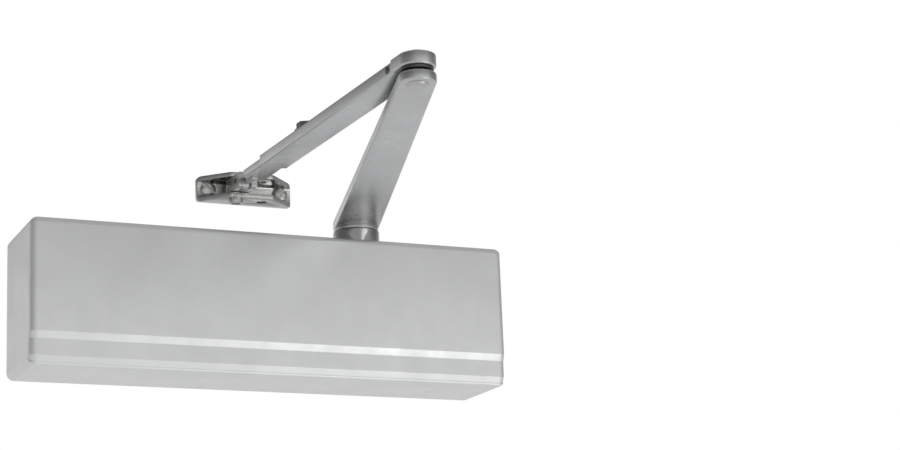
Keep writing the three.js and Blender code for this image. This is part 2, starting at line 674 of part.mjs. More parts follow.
function makePivotBlock() {
  const height = span(FOREARM.z, 2 * BLOCK.halfHeight);
  const place = { x: FOREARM.length, segments: 28 };
  const cheeks = box([BLOCK.front, FOREARM.length], span(0, 2 * BLOCK.halfWidth), height);
  let block = cheeks.add(cylinder(BLOCK.halfWidth, height, place));
  const bladeWidth = 2 * (TONGUE.halfWidth + GAP);
  const slotEnd = TONGUE.pinX + TONGUE.radius + 2 * GAP;
  const through = [height[0] - 1, height[1] + 1];
  block = block.subtract(box([BLOCK.front - 1, slotEnd], span(0, bladeWidth), through));
  block = block.subtract(cylinder(RIVET.shoe + GAP, through, place));
  const across = { x: TONGUE.pinX, z: FOREARM.z, axis: 'y', segments: 20 };
  return block.subtract(cylinder(RIVET.pin + GAP, [-BLOCK.halfWidth - 1, BLOCK.halfWidth + 1], across));
}

function makeTonguePin() {
  const reach = BLOCK.halfWidth + 0.4;
  return cylinder(RIVET.pin, [-reach, reach], { x: TONGUE.pinX, z: FOREARM.z, axis: 'y', segments: 20 });
}

// ---------------------------------------------------------------- shoe

function shoeFlange() {
  const back = SHOE.length / 2;
  const front = SHOE.front / 2;
  const shape = new THREE.Shape();
  const edge = SHOE.depth;
  const corner = 2.5;
  const lip = 2.4; // straight part of each end, next to the back
  shape.moveTo(-back, 0);
  shape.lineTo(-back, -lip);
  shape.lineTo(-front - corner, -edge + corner * 0.75);
  shape.quadraticCurveTo(-front - 0.6, -edge, -front + corner, -edge);
  shape.lineTo(front - corner, -edge);
  shape.quadraticCurveTo(front + 0.6, -edge, front + corner, -edge + corner * 0.75);
  shape.lineTo(back, -lip);
  shape.lineTo(back, 0);
  shape.closePath();
  return shape;
}

const SHOE_SCREW = { radius: 2.4, head: 5, headHeight: 3.2, reach: 17 };

function makeShoe() {
  const height = span(FOREARM.z, SHOE.height);
  let shoe = at(prismZ(shoeFlange(), height, 5), shoeMiddle, shoeBack);
  const mouth = [shoeBack - SHOE.depth - 1, shoeBack - SHOE.wall];
  const reach = SHOE.length / 2 + 1;
  const inside = span(FOREARM.z, SHOE.height - 2 * SHOE.wall);
  shoe = shoe.subtract(box([shoeMiddle - reach, shoeMiddle + reach], mouth, inside));
  for (const side of [-1, 1]) {
    const bore = { x: shoeMiddle + side * SHOE.holeOffset, y: pivot.y, segments: 24 };
    shoe = shoe.subtract(cylinder(RIVET.shoe + GAP, [height[0] - 1, height[1] + 1], bore));
    const x = shoeMiddle + side * SHOE.screwOffset;
    const hole = { x, y: shoeBack, z: FOREARM.z, axis: 'y', segments: 20 };
    shoe = shoe.subtract(cylinder(SHOE_SCREW.radius + GAP, [-SHOE.wall - 1, 1], hole));
  }
  return shoe;
}

function makeShoeRivet() {
  const under = FOREARM.z - SHOE.height / 2 - GAP;
  const over = FOREARM.z + SHOE.height / 2 + GAP;
  return turned([
    [0, under - 1.8], [3.6, under - 1.8], [4.4, under - 1.2], [4.4, under],
    [RIVET.shoe, under], [RIVET.shoe, over],
    [4.4, over], [3.8, over + 0.9], [0, over + 1.3],
  ], { ...pivot, segments: 24 });
}

// ---------------------------------------------------------------- the assembly

add('cover', makeCover(), 'sprayedAluminium');
add('housing', makeHousing(), 'castIron');
add('left_end_plug', makeLeftPlug(), 'darkSteel');
add('right_end_plug', makeRightPlug(), 'darkSteel');
add('left_plug_seal', makePlugSeal(-1), 'rubber');
add('right_plug_seal', makePlugSeal(1), 'rubber');
add('spring_adjuster', makeSpringAdjuster(), 'satinSteel');
add('spring_seat', makeSpringSeat(), 'darkSteel');
add('main_spring', makeMainSpring(), 'springSteel');
add('piston', makePiston(), 'satinSteel');
add('check_valve', makeCheckValve(), 'brass');
add('pinion_shaft', makePinionShaft(), 'polishedSteel');
add('upper_bearing', makeBearing(1), 'satinSteel');
add('lower_bearing', makeBearing(-1), 'satinSteel');
add('upper_seal', makeSeal(1), 'rubber');
add('lower_seal', makeSeal(-1), 'rubber');
add('upper_bearing_cap', makeBearingCap(1), 'darkSteel');
add('lower_bearing_cap', makeBearingCap(-1), 'darkSteel');
add('spindle_collar', makeSpindleCollar(), 'polishedSteel');
for (const [name, place] of Object.entries(VALVE_PLACES)) {
  add(name, makeValve(place), 'brass');
}
for (const [column, x] of [['left', -SCREW_PATTERN.x], ['right', SCREW_PATTERN.x]]) {
  for (const [row, z] of [['lower', -SCREW_PATTERN.z], ['upper', SCREW_PATTERN.z]]) {
    const screw = makePanScrew(MOUNT_SCREW, x, z, -BASE.earThickness - GAP);
    add(`mounting_screw_${row}_${column}`, screw, 'darkSteel');
  }
}
for (const [name, side] of [['left', -1], ['right', 1]]) {
  add(`cover_clip_${name}`, makeCoverClip(side), 'springSteel');
  add(`clip_screw_${name}`, makeClipScrew(side), 'darkSteel');
}

mainArmGroup.position.set(SPINDLE.x, SPINDLE.y, 0);
mainArmGroup.rotation.z = THREE.MathUtils.degToRad(ARM.angle);
add('main_arm', makeMainArm(), 'sprayedAluminium', mainArmGroup);
add('arm_washer', makeArmWasher(), 'darkSteel', mainArmGroup);
add('arm_screw', makeArmScrew(), 'darkSteel', mainArmGroup);
add('elbow_rivet', makeElbowRivet(), 'satinSteel', mainArmGroup);
add('elbow_washer', makeElbowWasher(), 'darkSteel', mainArmGroup);

forearmGroup.position.set(elbow.x, elbow.y, 0);
forearmGroup.rotation.z = THREE.MathUtils.degToRad(FOREARM.angle);
add('elbow_knuckle', makeElbowKnuckle(), 'sprayedAluminium', forearmGroup);
add('knuckle_pin', makeKnucklePin(), 'darkSteel', forearmGroup);
add('forearm_tube', makeForearmTube(), 'sprayedAluminium', forearmGroup);
add('slide_bar', makeSlideBar(), 'sprayedAluminium', forearmGroup);
add('clamp_washer', makeClampWasher(), 'darkSteel', forearmGroup);
add('clamp_screw', makeClampScrew(), 'darkSteel', forearmGroup);
add('pivot_block', makePivotBlock(), 'satinSteel', forearmGroup);
add('tongue_pin', makeTonguePin(), 'darkSteel', forearmGroup);

add('shoe', makeShoe(), 'satinSteel');
add('shoe_rivet', makeShoeRivet(), 'satinSteel');
for (const [name, side] of [['left', -1], ['right', 1]]) {
  const x = shoeMiddle + side * SHOE.screwOffset;
  const seatY = shoeBack - SHOE.wall - GAP;
  add(`frame_screw_${name}`, makePanScrew(SHOE_SCREW, x, FOREARM.z, seatY), 'satinSteel');
}

closer.add(mainArmGroup, forearmGroup);

export default closer;
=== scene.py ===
"""Looks for the door closer: smooth meshes, procedural materials, studio light and the camera.

Lengths are in millimetres until a mesh is made. The pieces of each arm are built along +X of
that arm's own frame and then turned into place.
"""

import json
import math

import bmesh
import bpy
from mathutils import Matrix, Vector


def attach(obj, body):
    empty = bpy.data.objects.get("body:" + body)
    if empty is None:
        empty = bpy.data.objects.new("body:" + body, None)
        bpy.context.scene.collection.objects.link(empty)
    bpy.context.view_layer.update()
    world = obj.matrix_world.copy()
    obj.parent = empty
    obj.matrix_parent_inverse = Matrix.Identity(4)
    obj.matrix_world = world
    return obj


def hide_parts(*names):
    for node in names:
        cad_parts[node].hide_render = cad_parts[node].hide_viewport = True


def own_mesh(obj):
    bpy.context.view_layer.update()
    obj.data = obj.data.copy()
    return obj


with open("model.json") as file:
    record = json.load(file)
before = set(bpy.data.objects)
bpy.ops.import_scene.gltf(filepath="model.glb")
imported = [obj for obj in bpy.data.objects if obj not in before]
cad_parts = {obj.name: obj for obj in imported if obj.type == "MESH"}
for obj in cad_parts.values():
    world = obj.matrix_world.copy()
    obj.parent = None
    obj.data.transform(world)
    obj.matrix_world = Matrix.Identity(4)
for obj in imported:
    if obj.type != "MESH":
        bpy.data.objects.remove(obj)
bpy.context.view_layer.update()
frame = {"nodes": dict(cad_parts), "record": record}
scene = bpy.context.scene
MM = 0.001

# ------------------------------------------------------------------ sizes
# As in the CAD part, except that the boss is 0.05 mm wider and the tang differs slightly.

SPINDLE = (66.6, -30.0)
ARM_LENGTH = 301.0
ARM_ANGLE = 254.4
ARM_BOTTOM = 60.0
ARM_TOP = 67.0
HUB_RADIUS = 15.0
TIP_RADIUS = 10.4
RECESS = {"radius": 9.5, "floor": 65.0}
BOSS = {"bottom": 58.0, "radius": 14.65, "bore": 7.2}
COLLAR = {"radius": 15.2, "bottom": 38.0, "top": 57.7, "bore": 9.2}
FOREARM_LENGTH = 259.7
FOREARM_ANGLE = 92.8
FOREARM_Z = 72.7
GAP = 0.3  # clearance between neighbouring pieces
KNUCKLE = {"radius": 10.4, "half_height": 3.8, "pin": 18.0, "edge": 1.2}
TANG = {"start": 6.0, "end": 34.0, "half_width": 7.7, "half_height": 2.3}
TUBE = {"start": 11.4, "end": 198.0, "half_width": 9.1, "half_height": 3.65, "wall": 1.1}
SLOT = {"start": 110.0, "end": 188.0, "radius": 3.3}
BAR = {"start": 85.0, "end": 228.0, "shoulder": 5.6, "half_width": 7.6, "half_height": 2.25}
TONGUE = {"pin": 244.7, "half_width": 2.0, "radius": 5.0, "neck": 2.6}
BLOCK = {"front": 238.7, "half_width": 6.0, "half_height": 4.7, "half_slot": 2.3, "slot_reach": 5.6}
SHOE = {"length": 63.0, "depth": 19.9, "height": 16.0, "front": 26.0, "wall": 2.8}
SHOE_PIVOT_DEPTH = 11.6
SHOE_HOLE = 8.6
SPARE_HOLE_RADIUS = 3.3
SHOE_SCREW = 24.0


def along(origin, length, degrees):
    angle = math.radians(degrees)
    return (origin[0] + length * math.cos(angle), origin[1] + length * math.sin(angle))


ELBOW = along(SPINDLE, ARM_LENGTH, ARM_ANGLE)
PIVOT = along(ELBOW, FOREARM_LENGTH, FOREARM_ANGLE)
SHOE_MIDDLE = PIVOT[0] + SHOE_HOLE
SHOE_BACK = PIVOT[1] + SHOE_PIVOT_DEPTH


def arm_frame(origin, degrees):
    return Matrix.Translation((*origin, 0)) @ Matrix.Rotation(math.radians(degrees), 4, "Z")


MAIN_ARM = arm_frame(SPINDLE, ARM_ANGLE)
FOREARM = arm_frame(ELBOW, FOREARM_ANGLE)
AT_SPINDLE = Matrix.Translation((*SPINDLE, 0))
AT_PIVOT = Matrix.Translation((*PIVOT, 0))
AT_SHOE = Matrix.Translation((SHOE_MIDDLE, SHOE_BACK, FOREARM_Z))

# ------------------------------------------------------------------ mesh helpers


def new_object(name, build, place=Matrix.Identity(4)):
    """A mesh from a bmesh that build(bm) fills in millimetres, put in place and shaded smooth."""
    bm = bmesh.new()
    build(bm)
    bmesh.ops.remove_doubles(bm, verts=bm.verts, dist=1e-4)
    bmesh.ops.dissolve_degenerate(bm, edges=bm.edges, dist=1e-5)
    bmesh.ops.recalc_face_normals(bm, faces=bm.faces)
    mesh = bpy.data.meshes.new(name)
    bm.transform(Matrix.Scale(MM, 4) @ place)
    bm.to_mesh(mesh)
    bm.free()
    obj = bpy.data.objects.new(name, mesh)
    scene.collection.objects.link(obj)
    shade(obj)
    return obj


def shade(obj, degrees=32):
    for polygon in obj.data.polygons:
        polygon.use_smooth = True
    obj.data.set_sharp_from_angle(angle=math.radians(degrees))


def apply_modifiers(obj):
    graph = bpy.context.evaluated_depsgraph_get()
    mesh = bpy.data.meshes.new_from_object(obj.evaluated_get(graph))
    obj.modifiers.clear()
    obj.data = mesh
    shade(obj)


def bevel(obj, width, segments=3, degrees=40):
    modifier = obj.modifiers.new("edges", "BEVEL")
    modifier.width = width * MM
    modifier.segments = segments
    modifier.limit_method = "ANGLE"
    modifier.angle_limit = math.radians(degrees)
    modifier.use_clamp_overlap = True
    apply_modifiers(obj)


def combine(obj, other, operation):
    modifier = obj.modifiers.new(operation, "BOOLEAN")
    modifier.object = other
    modifier.operation = operation
    modifier.solver = "EXACT"
    apply_modifiers(obj)
    bpy.data.objects.remove(other)


def cut(obj, cutter):
    combine(obj, cutter, "DIFFERENCE")


def join(obj, *others):
    """Puts other meshes into obj as extra shells."""
    bm = bmesh.new()
    for part in (obj, *others):
        bm.from_mesh(part.data)
    bm.to_mesh(obj.data)
    bm.free()
    for other in others:
        bpy.data.objects.remove(other)
    shade(obj)


def skin(bm, rings, capped=True):
    """Quads between closed rings of points, with flat ends."""
    made = [[bm.verts.new(point) for point in ring] for ring in rings]
    count = len(made[0])
    for low, high in zip(made, made[1:]):
        for i in range(count):
            j = (i + 1) % count
            bm.faces.new((low[i], low[j], high[j], high[i]))
    if capped:
        bm.faces.new(made[0])
        bm.faces.new(made[-1])


def skinned(name, rings, place=Matrix.Identity(4)):
    return new_object(name, lambda bm: skin(bm, rings), place)


def slab(name, outline, levels, place=Matrix.Identity(4)):
    """A plate whose outline(inset) is stacked at each (inset, z)."""
    rings = [[(x, y, z) for x, y in outline(inset)] for inset, z in levels]
    return skinned(name, rings, place)


def rounded_levels(low, high, low_radius, high_radius, steps=5):
    """(inset, z) up the side of a plate with rounded lower and upper edges."""
    quarter = [math.pi / 2 * i / steps for i in range(steps + 1)]
    bottom = [(low_radius * (1 - math.sin(a)), low + low_radius * (1 - math.cos(a))) for a in quarter]
    top = [
        (high_radius * (1 - math.cos(a)), high - high_radius * (1 - math.sin(a))) for a in quarter
    ]
    return bottom + top


AXES = {
    "Z": Matrix.Identity(4),
    "Y": Matrix.Rotation(-math.pi / 2, 4, "X"),
    "X": Matrix.Rotation(math.pi / 2, 4, "Y"),
}


def turned(name, profile, place=Matrix.Identity(4), axis="Z", segments=72, ring=False):
    """A solid of revolution from (radius, height) points; ring closes the profile on itself."""
    points = profile + profile[:1] if ring else profile
    circle = [2 * math.pi * i / segments for i in range(segments)]
    rings = [[(r * math.cos(a), r * math.sin(a), h) for a in circle] for r, h in points]
    return new_object(name, lambda bm: skin(bm, rings, capped=False), place @ AXES[axis])


def box(name, low, high, place=Matrix.Identity(4)):
    (x0, y0, z0), (x1, y1, z1) = low, high
    base = [(x0, y0), (x1, y0), (x1, y1), (x0, y1)]
    return skinned(name, [[(x, y, z) for x, y in base] for z in (z0, z1)], place)


def arc(cx, cy, radius, start, end, steps):
    angles = [math.radians(start + (end - start) * i / steps) for i in range(steps + 1)]
    return [(cx + radius * math.cos(a), cy + radius * math.sin(a)) for a in angles]


def round_corner(before, corner, after, radius, steps=6):
    """Points of the arc that rounds a corner of a polyline."""
    here = Vector(corner)
    to_before = (Vector(before) - here).normalized()
    to_after = (Vector(after) - here).normalized()
    half = to_before.angle(to_after) / 2
    reach = radius / math.tan(half)
    centre = here + (to_before + to_after).normalized() * (radius / math.sin(half))
    start = here + to_before * reach - centre
    end = here + to_after * reach - centre
    points = []
    for i in range(steps + 1):
        way = start.slerp(end, i / steps).normalized()
        points.append(tuple(centre + way * radius))
    return points


def rounded_polyline(corners):
    """corners are (u, v, radius); the first and last stay as they are."""
    points = [corners[0][:2]]
    for before, here, after in zip(corners, corners[1:], corners[2:]):
        points += round_corner(before[:2], here[:2], after[:2], max(here[2], 0.03))
    return points + [corners[-1][:2]]


# ------------------------------------------------------------------ materials


def node_material(name):
    material = bpy.data.materials.new(name)
    material.use_nodes = True
    tree = material.node_tree
    shader = tree.nodes["Principled BSDF"]
    place = tree.nodes.new("ShaderNodeTexCoord").outputs["Object"]
    return material, tree, shader, place


def stretched(tree, place, scale):
    mapping = tree.nodes.new("ShaderNodeMapping")
    mapping.inputs["Scale"].default_value = scale
    tree.links.new(place, mapping.inputs["Vector"])
    return mapping.outputs["Vector"]


def noise(tree, place, scale, detail=3.0, roughness=0.5):
    texture = tree.nodes.new("ShaderNodeTexNoise")
    texture.inputs["Scale"].default_value = scale
    texture.inputs["Detail"].default_value = detail
    texture.inputs["Roughness"].default_value = roughness
    tree.links.new(place, texture.inputs["Vector"])
    return texture.outputs["Fac"]


MIDDLE_RANGE = (0.3, 0.7)  # where most of a noise texture's values lie


def spread(tree, value, low, high, start=MIDDLE_RANGE[0], end=MIDDLE_RANGE[1]):
    """Maps start..end to low..high."""
    node = tree.nodes.new("ShaderNodeMapRange")
    node.inputs["From Min"].default_value = start
    node.inputs["From Max"].default_value = end
    node.inputs["To Min"].default_value = low
    node.inputs["To Max"].default_value = high
    tree.links.new(value, node.inputs["Value"])
    return node.outputs["Result"]


def tinted(tree, value, dark, light):
    ramp = tree.nodes.new("ShaderNodeValToRGB")
    ramp.color_ramp.elements[0].position = MIDDLE_RANGE[0]
    ramp.color_ramp.elements[1].position = MIDDLE_RANGE[1]
    ramp.color_ramp.elements[0].color = (*dark, 1)
    ramp.color_ramp.elements[1].color = (*light, 1)
    tree.links.new(value, ramp.inputs["Fac"])
    return ramp.outputs["Color"]


def bump(tree, shader, height, depth_mm):
    node = tree.nodes.new("ShaderNodeBump")
    node.inputs["Distance"].default_value = depth_mm * MM
    node.inputs["Strength"].default_value = 1.0
    tree.links.new(height, node.inputs["Height"])
    tree.links.new(node.outputs["Normal"], shader.inputs["Normal"])


def shaded(colour, factor):
    return tuple(min(channel * factor, 1.0) for channel in colour)


def surface(name, colour, metallic, roughness, blotch, grain, depth_mm, stretch=(1, 1, 1), vary=0.05):
    """A finish with slow colour blotches, uneven gloss and a fine grain or orange peel."""
    material, tree, shader, place = node_material(name)
    shader.inputs["Metallic"].default_value = metallic
    slow = noise(tree, place, blotch, 4.0, 0.6)
    fine = noise(tree, stretched(tree, place, stretch), grain, 3.0, 0.55)
    colours = tinted(tree, slow, shaded(colour, 1 - vary), shaded(colour, 1 + vary))
    tree.links.new(colours, shader.inputs["Base Color"])
    gloss = spread(tree, noise(tree, place, blotch * 2.3), roughness * 0.88, roughness * 1.14)
    tree.links.new(gloss, shader.inputs["Roughness"])
    bump(tree, shader, fine, depth_mm)
    return material


def make_materials():
    along_arm = (0.06, 1, 1)
    return {
        "silver_paint": surface("silver_paint", (0.72, 0.725, 0.73), 0.62, 0.4, 30, 900, 0.006, vary=0.03),
        "arm_paint": surface("arm_paint", (0.50, 0.505, 0.51), 0.88, 0.26, 35, 1000, 0.006, vary=0.04),
        "cast_housing": surface("cast_housing", (0.20, 0.205, 0.21), 0.35, 0.55, 40, 420, 0.12, vary=0.12),
        "dark_steel": surface("dark_steel", (0.13, 0.13, 0.135), 0.9, 0.34, 60, 1500, 0.01, vary=0.12),
        "satin_steel": surface(
            "satin_steel", (0.52, 0.52, 0.51), 1.0, 0.32, 60, 1600, 0.012, along_arm, vary=0.08),
        "cast_shoe": surface("cast_shoe", (0.50, 0.50, 0.49), 1.0, 0.2, 90, 260, 0.05, vary=0.14),
        "polished_steel": surface(
            "polished_steel", (0.62, 0.62, 0.62), 1.0, 0.16, 80, 1800, 0.006, (1, 1, 0.05), vary=0.06),
        "spring_steel": surface("spring_steel", (0.24, 0.24, 0.22), 1.0, 0.35, 60, 1200, 0.01, vary=0.1),
        "brass": surface("brass", (0.62, 0.46, 0.20), 1.0, 0.28, 80, 1500, 0.008, vary=0.08),
        "rubber": surface("rubber", (0.022, 0.022, 0.022), 0.0, 0.72, 70, 700, 0.04, vary=0.2),
    }


MATERIALS = make_materials()
NODE_SLOT = {part["node"]: part["material_slot"] for part in frame["record"]["subparts"]}
NODE_BODY = {
    node: body for body, nodes in frame["record"]["behaviour"]["bodies"].items() for node in nodes
}


def finish_piece(obj, node):
    """obj stands for a CAD node: it moves with that node's body and takes its finish."""
    obj.data.materials.clear()
    obj.data.materials.append(MATERIALS[NODE_SLOT[node]])
    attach(obj, NODE_BODY[node])
    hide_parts(node)


def dress_cad_nodes():
    """Every CAD node gets its finish, and small rounded edges that catch the light."""
    for name, node in frame["nodes"].items():
        node.data.materials.clear()
        node.data.materials.append(MATERIALS[NODE_SLOT[name]])
        shade(node)
        modifier = node.modifiers.new("edges", "BEVEL")
        modifier.width = 0.25 * MM
        modifier.segments = 2
        modifier.limit_method = "ANGLE"
        modifier.angle_limit = math.radians(50)


# ------------------------------------------------------------------ cover

# The front goes back by "step" at each of two sloping steps, which lie between these heights
# above the cover's bottom edge.
COVER = {
    "length": 315.0, "depth": 60.0, "height": 92.0, "wall": 2.0, "taper": 1.2,
    "top_radius": 4.0, "bottom_radius": 1.9,
    "step": 1.8, "upper_step": (16.4, 20.7), "lower_step": (2.4, 5.8),
}
END_RADIUS = 4.6
NOTCH_RADIUS = 15.6


def cover_section(inset, back):
    """The cover's (y, z) section from the back of the top to the back of the bottom."""
    front = -COVER["depth"] + inset
    top = COVER["height"] / 2 - inset
    floor = -COVER["height"] / 2
    middle, lowest = front + COVER["step"], front + 2 * COVER["step"]
    upper, lower = COVER["upper_step"], COVER["lower_step"]
    return rounded_polyline([
        (back, top - COVER["taper"], 0),
        (front, top, COVER["top_radius"] - inset),
        (front, floor + upper[1], 1.0),
        (middle, floor + upper[0], 1.0),
        (middle, floor + lower[1] + 0.5 * inset, 0.8),
        (lowest, floor + lower[0] + 0.6 * inset, 0.5),
        (lowest, floor + inset, max(COVER["bottom_radius"] - inset, 0.05)),
        (back, floor + inset + COVER["taper"], 0),
    ])


def cover_rings(base_inset, back, steps=8):
    radius = END_RADIUS - base_inset
    end = COVER["length"] / 2 - base_inset
    turns = [math.pi / 2 * i / steps for i in range(steps + 1)]
    stations = [
        (end - radius * (1 - math.sin(a)), base_inset + radius * (1 - math.cos(a))) for a in turns
    ]
    left = [(-x, inset) for x, inset in reversed(stations)]
    rings = []
    for x, inset in left + stations:
        rings.append([(x, y, z) for y, z in cover_section(inset, back)])
    return rings


def make_cover():
    cover = skinned("cover_shell", cover_rings(0, 0))
    cut(cover, skinned("inside", cover_rings(COVER["wall"], 1.0)))
    top = COVER["height"] / 2
    x, y = SPINDLE
    outline = arc(x, y, NOTCH_RADIUS, 180, 360, 32) + [(x + NOTCH_RADIUS, 2), (x - NOTCH_RADIUS, 2)]
    cut(cover, slab("notch", lambda inset: outline, [(0, top - 5), (0, top + 2)]))
    bevel(cover, 0.35)
    finish_piece(cover, "cover")


# ------------------------------------------------------------------ main arm


def arm_outline(inset):
    """A bar with a big round end and a small one."""
    lean = math.degrees(math.asin((HUB_RADIUS - TIP_RADIUS) / ARM_LENGTH))
    hub = arc(0, 0, HUB_RADIUS - inset, 90 - lean, 270 + lean, 40)
    tip = arc(ARM_LENGTH, 0, TIP_RADIUS - inset, -90 + lean, 90 - lean, 32)
    return hub + tip


def make_main_arm():
    lower = rounded_levels(ARM_BOTTOM, ARM_TOP, 1.1, 1.1)[:6]
    crown = [(0, 64.4), (0.12, 65.0), (0.45, 65.5), (1.0, 65.95), (2.0, 66.4), (3.6, 66.75), (6.0, 67.0)]
    arm = slab("main_arm_bar", arm_outline, lower + crown, MAIN_ARM)
    radius, floor, above = RECESS["radius"], RECESS["floor"], ARM_TOP + 1
    cut(arm, turned("recess", [(0, floor), (radius, floor), (radius, above), (0, above)], MAIN_ARM))
    bevel(arm, 0.3, degrees=60)
    radius, bottom, bore = BOSS["radius"], BOSS["bottom"], BOSS["bore"]
    inside = ARM_BOTTOM + 1.5
    boss = turned("boss", [
        (bore, bottom), (radius - 0.55, bottom), (radius - 0.15, bottom + 0.15), (radius, bottom + 0.5),
        (radius, inside - 0.9), (radius - 0.45, inside), (bore, inside),
    ], MAIN_ARM, ring=True)
    join(arm, boss)
    finish_piece(arm, "main_arm")


def make_spindle_collar():
    radius, bottom, top, bore = (COLLAR[key] for key in ("radius", "bottom", "top", "bore"))
    collar = turned("collar_sleeve", [
        (bore, bottom), (radius - 0.4, bottom), (radius, bottom + 0.4),
        (radius, top - 0.6), (radius - 0.15, top - 0.2), (radius - 0.6, top), (bore, top),
    ], AT_SPINDLE, segments=128, ring=True)
    finish_piece(collar, "spindle_collar")


SPRING = {"radius": 14.0, "wire": 2.8, "turns": 9, "from": -94.5, "to": 22.9}
SPRING_HALVES = (("left", "preload_travel", 6.24), ("right", "piston_travel", 18.5))  # travel in mm


def spring_ring(share, sides=12):
    """One ring of points round the spring wire, at a share of the spring's length."""
    start, end = SPRING["from"], SPRING["to"]
    angle = math.tau * SPRING["turns"] * share
    radial = Vector((0, math.cos(angle), math.sin(angle)))
    forward = Vector(((end - start) / (math.tau * SPRING["turns"]), 0, 0))
    forward += SPRING["radius"] * Vector((0, -math.sin(angle), math.cos(angle)))
    sideways = forward.cross(radial).normalized()
    centre = Vector((start + (end - start) * share, SPINDLE[1], 0)) + SPRING["radius"] * radial
    turns = [math.tau * i / sides for i in range(sides)]
    return [centre + SPRING["wire"] * (math.cos(a) * radial + math.sin(a) * sideways) for a in turns]


def make_spring():
    """The coil in two halves, left and right, which both move with the main spring's body."""
    steps = 120
    for order, (side, joint, travel) in enumerate(SPRING_HALVES):
        rings = [spring_ring((order + i / steps) / 2) for i in range(steps + 1)]
        coil = skinned(f"main_spring_{side}", rings)
        finish_piece(coil, "main_spring")
        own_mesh(coil)


def make_elbow():
    top = FOREARM_Z + KNUCKLE["half_height"]
    at_tip = MAIN_ARM @ Matrix.Translation((ARM_LENGTH, 0, 0))
    rivet = turned("elbow_rivet_heads", [
        (0, 58.9), (2.2, 58.8), (3.4, 58.45), (4.2, 58.38), (5.0, 58.65), (5.6, 59.2), (5.95, 59.7),
        (6.0, 60.0), (4.0, 60.1), (4.0, top + 0.2), (6.4, top + 0.3), (6.3, top + 0.8), (5.6, top + 1.4),
        (4.2, top + 1.95), (2.2, top + 2.3), (0, top + 2.4),
    ], at_tip)
    finish_piece(rivet, "elbow_rivet")


# ------------------------------------------------------------------ forearm


def knuckle_outline(inset):
    end = TUBE["start"] - GAP - inset
    half = KNUCKLE["radius"] - inset
    return [(end, -half), (end, half)] + arc(0, 0, half, 90, 270, 48)


def make_knuckle():
    low, high = FOREARM_Z - KNUCKLE["half_height"], FOREARM_Z + KNUCKLE["half_height"]
    levels = rounded_levels(low, high, KNUCKLE["edge"], KNUCKLE["edge"])
    knuckle = slab("knuckle_eye", knuckle_outline, levels, FOREARM)
    wide, tall = TANG["half_width"], TANG["half_height"]
    near = (TANG["start"], -wide, FOREARM_Z - tall)
    far = (TANG["end"], wide, FOREARM_Z + tall)
    tang = box("tang", near, far, FOREARM)
    join(knuckle, tang)
    finish_piece(knuckle, "elbow_knuckle")

    across = FOREARM @ Matrix.Translation((KNUCKLE["pin"], 0, FOREARM_Z))
    wall = TUBE["half_width"]
    half = [(2.3, wall + 0.15), (2.2, wall + 0.5), (1.3, wall + 0.85), (0, wall + 0.9)]
    mirrored = [(radius, -height) for radius, height in reversed(half)]
    pin = turned("knuckle_pin_heads", mirrored + [(1.2, -wall), (1.2, wall)] + half, across, "Y", 32)
    finish_piece(pin, "knuckle_pin")


def tube_section():
    """The strip's (y, z) section: folded round, with its seam on top."""
    wide, tall, wall = TUBE["half_width"], TUBE["half_height"], TUBE["wall"]

    def loop(half_width, half_height, radius):
        corners = [
            (0.4, half_height, 0), (half_width, half_height, radius), (half_width, -half_height, radius),
            (-half_width, -half_height, radius), (-half_width, half_height, radius), (-0.4, half_height, 0),
        ]
        return rounded_polyline(corners)

    return loop(wide, tall, 1.5) + loop(wide - wall, tall - wall, 0.6)[::-1]


def make_tube():
    section = tube_section()
    rings = [[(x, y, FOREARM_Z + z) for y, z in section] for x in (TUBE["start"], TUBE["end"])]
    tube = skinned("tube_strip", rings, FOREARM)
    start, end, radius = SLOT["start"], SLOT["end"], SLOT["radius"]
    outline = arc(start + radius, 0, radius, 90, 270, 16) + arc(end - radius, 0, radius, -90, 90, 16)
    cut(tube, slab("slot", lambda inset: outline, [(0, FOREARM_Z), (0, FOREARM_Z + 6)], FOREARM))
    bevel(tube, 0.22, degrees=50)
    finish_piece(tube, "forearm_tube")


def make_bar():
    first, last, shoulder = BAR["start"], BAR["end"], BAR["end"] + BAR["shoulder"]
    half, thick, tongue = BAR["half_width"], BAR["half_height"], TONGUE["half_width"]
    outline = [
        (first, -half), (last, -half), (shoulder, -tongue), (shoulder, tongue), (last, half), (first, half),
    ]
    levels = [(0, FOREARM_Z - thick), (0, FOREARM_Z + thick)]
    bar = slab("bar_blade", lambda inset: outline, levels, FOREARM)
    bevel(bar, 0.5)
    radius, neck = TONGUE["radius"], TONGUE["neck"]
    start = math.degrees(math.asin(neck / radius))
    side = [(last, FOREARM_Z + neck), (last, FOREARM_Z - neck)]
    side += arc(TONGUE["pin"], FOREARM_Z, radius, start - 180, 180 - start, 40)
    rings = [[(x, y, z) for x, z in side] for y in (-tongue, tongue)]
    blade = skinned("tongue", rings, FOREARM)
    bevel(blade, 0.4)
    join(bar, blade)
    finish_piece(bar, "slide_bar")


def block_outline(inset):
    """A fork seen from above: two cheeks and a round back around the rivet."""
    half, gap, front = BLOCK["half_width"] - inset, BLOCK["half_slot"] + inset, BLOCK["front"] + inset
    slot_end = TONGUE["pin"] + BLOCK["slot_reach"]
    back = arc(FOREARM_LENGTH, 0, half, -90, 90, 28)
    slot = arc(slot_end - gap, 0, gap, 90, -90, 12)
    return [(front, -half)] + back + [(front, half), (front, gap)] + slot + [(front, -gap)]


def make_block():
    low, high = FOREARM_Z - BLOCK["half_height"], FOREARM_Z + BLOCK["half_height"]
    block = slab("fork_block", block_outline, rounded_levels(low, high, 0.5, 0.5, 3), FOREARM)
    finish_piece(block, "pivot_block")


# ------------------------------------------------------------------ shoe


